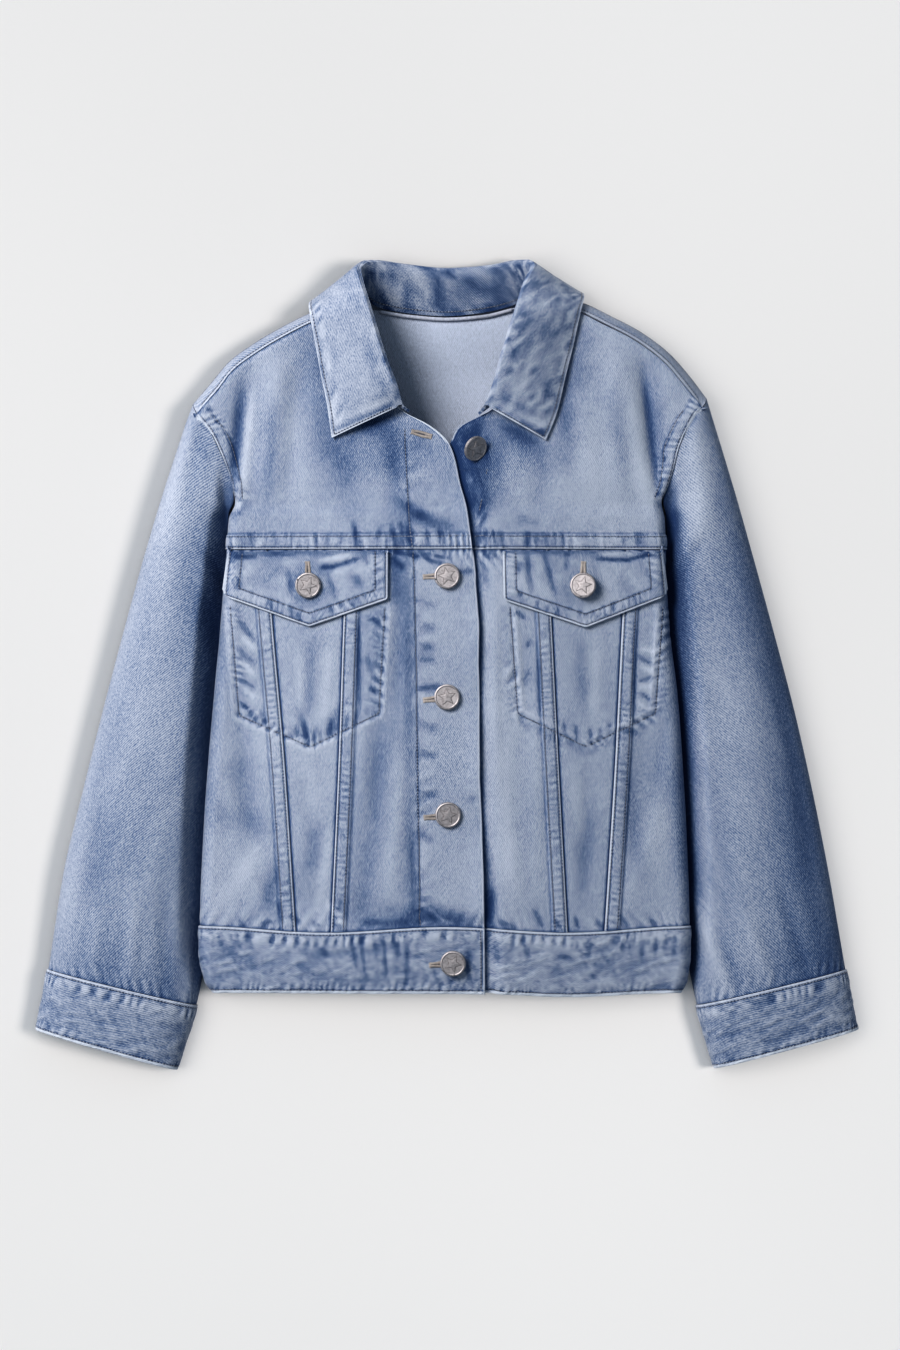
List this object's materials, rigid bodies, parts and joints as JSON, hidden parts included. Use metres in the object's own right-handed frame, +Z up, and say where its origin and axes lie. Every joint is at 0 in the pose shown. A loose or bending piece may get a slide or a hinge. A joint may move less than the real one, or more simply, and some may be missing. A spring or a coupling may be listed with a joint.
{
  "type": "denim jacket",
  "caption": "Child's long-sleeved denim jacket lying flat on its back, with a folded collar, pointed chest pocket flaps, lapped front seams, button front, cuffs and waistband",
  "frame": {"origin": "The middle of the jacket seen from above, on the surface that it lies on", "axes": "+X is the wearer's left, +Y runs from hem to collar, and +Z points up out of the surface, through the jacket's thickness"},
  "size_m": [0.5534, 0.544, 0.0495],
  "materials": {
    "denim": "washed light blue twill",
    "tape_and_thread": "pale woven tape",
    "button_metal": "worn pewter"
  },
  "bodies": {
    "root": {"front_yoke_right": "denim", "front_yoke_left": "denim", "side_front_right": "denim", "side_front_left": "denim", "middle_front_right": "denim", "middle_front_left": "denim", "centre_front_right": "denim", "centre_front_left": "denim", "pocket_flap_right": "denim", "pocket_flap_left": "denim", "pocket_bag_right": "denim", "pocket_bag_left": "denim", "waistband_front_right": "denim", "waistband_front_left": "denim", "waistband_back": "denim", "sleeve_top_right": "denim", "sleeve_top_left": "denim", "sleeve_under_right": "denim", "sleeve_under_left": "denim", "cuff_right": "denim", "cuff_left": "denim", "back_panel": "denim", "back_yoke": "denim", "collar": "denim", "neck_tape": "tape_and_thread", "button_1": "button_metal", "button_2": "button_metal", "button_3": "button_metal", "button_waist": "button_metal", "button_flap_right": "button_metal", "button_flap_left": "button_metal", "button_neck": "button_metal"}
  },
  "joints": []
}
